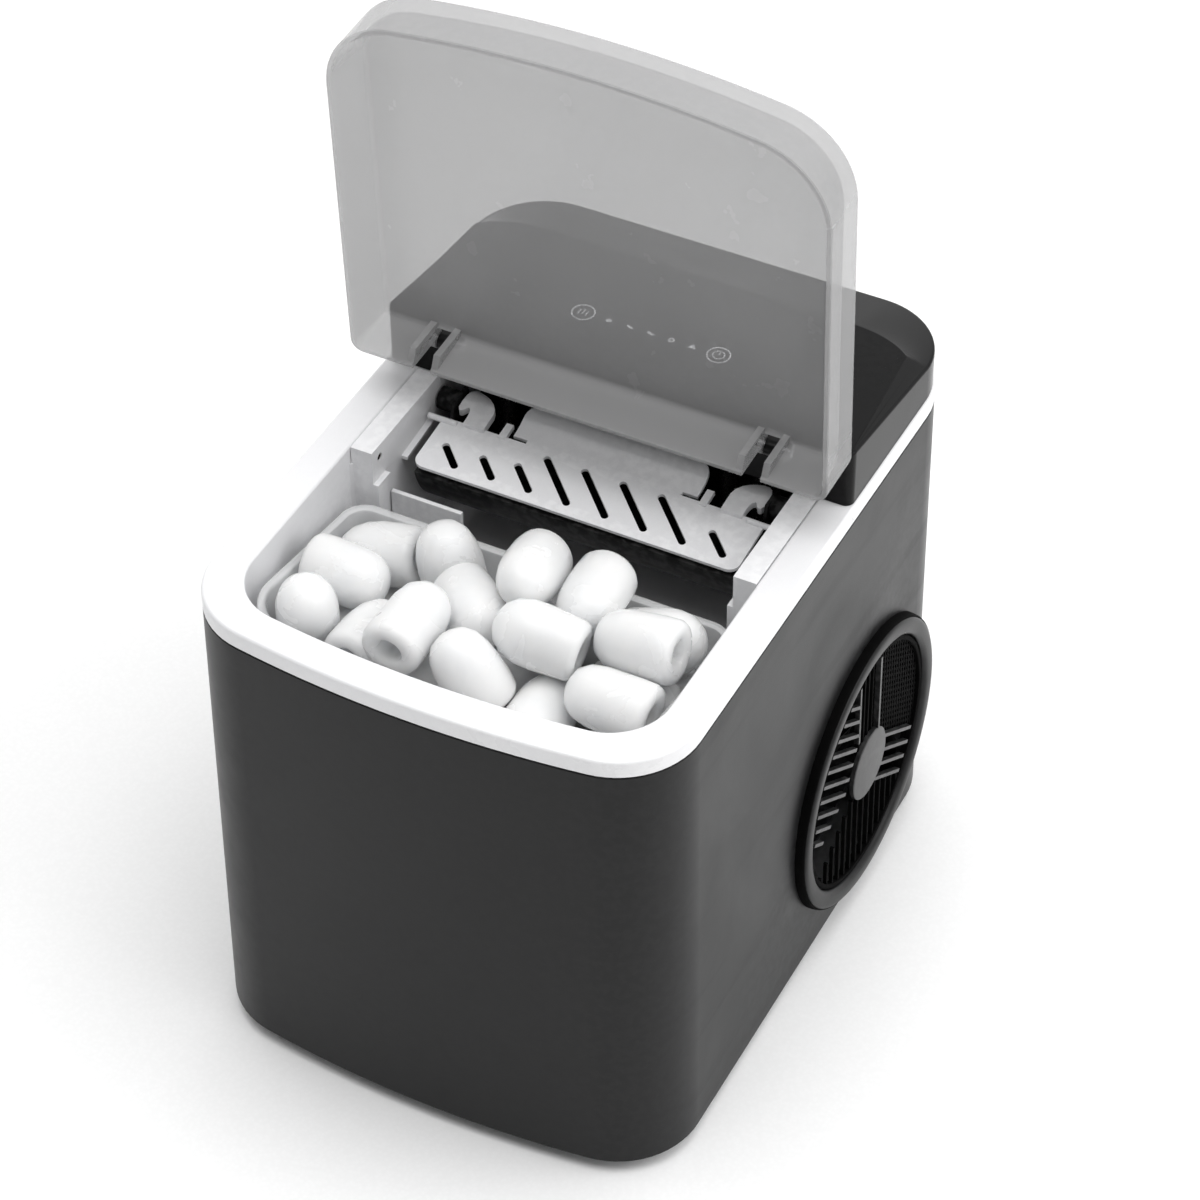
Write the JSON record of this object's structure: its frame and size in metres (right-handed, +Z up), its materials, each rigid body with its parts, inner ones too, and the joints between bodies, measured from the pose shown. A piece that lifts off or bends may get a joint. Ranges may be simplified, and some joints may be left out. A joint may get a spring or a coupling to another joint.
{
  "type": "ice maker",
  "caption": "Countertop bullet-ice maker with a hinged see-through lid, lift-out ice basket, slotted ice shovel, tilting water tray and round side fan grille.",
  "frame": {"origin": "on the floor under the centre of the plan outline", "axes": "+Z up, +Y to the back, +X to the right seen from the front, where the user stands"},
  "size_m": [0.2337, 0.3115, 0.4593],
  "materials": {
    "shell_coat": "satin charcoal paint",
    "white_plastic": "satin white moulding",
    "black_gloss": "polished black moulding",
    "black_plastic": "fine matt black moulding",
    "smoky_clear": "see-through grey moulding",
    "clear_plastic": "see-through moulding",
    "rubber": "matt",
    "screw_steel": "plated",
    "zinc_steel": "zinc plated",
    "copper_tube": "drawn copper",
    "aluminium_fin": "rolled fins",
    "black_enamel": "black enamel",
    "board": "solder mask",
    "clear_hose": "silicone",
    "foam": "closed-cell foam",
    "sensor_lens": "dark window"
  },
  "bodies": {
    "cabinet": {"back_panel": "shell_coat", "back_screw_left_1": "screw_steel", "back_screw_left_2": "screw_steel", "back_screw_left_3": "screw_steel", "back_screw_right_1": "screw_steel", "back_screw_right_2": "screw_steel", "back_screw_right_3": "screw_steel", "base_plate": "zinc_steel", "capillary_tube": "copper_tube", "compressor": "black_enamel", "compressor_mount": "zinc_steel", "condenser": "aluminium_fin", "control_board": "board", "discharge_tube": "copper_tube", "drain_hose": "clear_hose", "drain_outlet": "black_plastic", "evaporator": "screw_steel", "evaporator_foam": "foam", "fan_motor": "zinc_steel", "fan_shroud": "black_plastic", "filter_drier": "copper_tube", "foot_front_left": "rubber", "foot_front_right": "rubber", "foot_rear_left": "rubber", "foot_rear_right": "rubber", "grille_bezel": "shell_coat", "hinge_knuckle_left": "black_gloss", "hinge_knuckle_right": "black_gloss", "hinge_pin_left": "screw_steel", "hinge_pin_right": "screw_steel", "ice_sensor_left": "sensor_lens", "ice_sensor_right": "sensor_lens", "inner_tank": "white_plastic", "left_cheek": "white_plastic", "liquid_tube": "copper_tube", "outer_shell": "shell_coat", "power_board": "board", "power_gland": "black_plastic", "pump_inlet_hose": "clear_hose", "pump_outlet_hose": "clear_hose", "rear_cover": "black_gloss", "right_cheek": "white_plastic", "rim_frame": "white_plastic", "side_grille": "black_plastic", "splash_guard": "white_plastic", "suction_tube": "copper_tube", "tray_motor": "zinc_steel", "tray_pivot_pin": "screw_steel", "water_pump": "black_plastic"},
    "lid": {"lid": "smoky_clear"},
    "basket": {"ice_basket": "clear_plastic"},
    "shovel": {"ice_shovel": "white_plastic"},
    "tray": {"water_tray": "black_plastic"},
    "fan": {"fan_blade": "black_plastic"},
    "drain_stopper": {"drain_plug": "rubber"}
  },
  "joints": [
    {"name": "lid_hinge", "type": "hinge", "parent": "cabinet", "child": "lid", "pos_m": [0, 0.0305, 0.2735], "axis": [-1, 0, 0], "range_deg": [-87.3, 0]},
    {"name": "tray_tilt", "type": "hinge", "parent": "cabinet", "child": "tray", "pos_m": [0, 0.035, 0.237], "axis": [1, 0, 0], "range_deg": [0, 26]},
    {"name": "shovel_push", "type": "slide", "parent": "cabinet", "child": "shovel", "axis": [0, -0.9921, -0.1256], "range_m": [0, 0.02]},
    {"name": "basket_lift", "type": "slide", "parent": "cabinet", "child": "basket", "axis": [0, 0, 1], "range_m": [0, 0.14]},
    {"name": "fan_spin", "type": "hinge", "parent": "cabinet", "child": "fan", "pos_m": [0.087, 0.0565, 0.0825], "axis": [1, 0, 0], "continuous": true},
    {"name": "drain_plug_pull", "type": "slide", "parent": "cabinet", "child": "drain_stopper", "axis": [0, 1, 0], "range_m": [0, 0.014]}
  ],
  "couplings": [
    {"joint": "shovel_push", "follows": "tray_tilt", "m_per_rad": 0.044073}
  ]
}
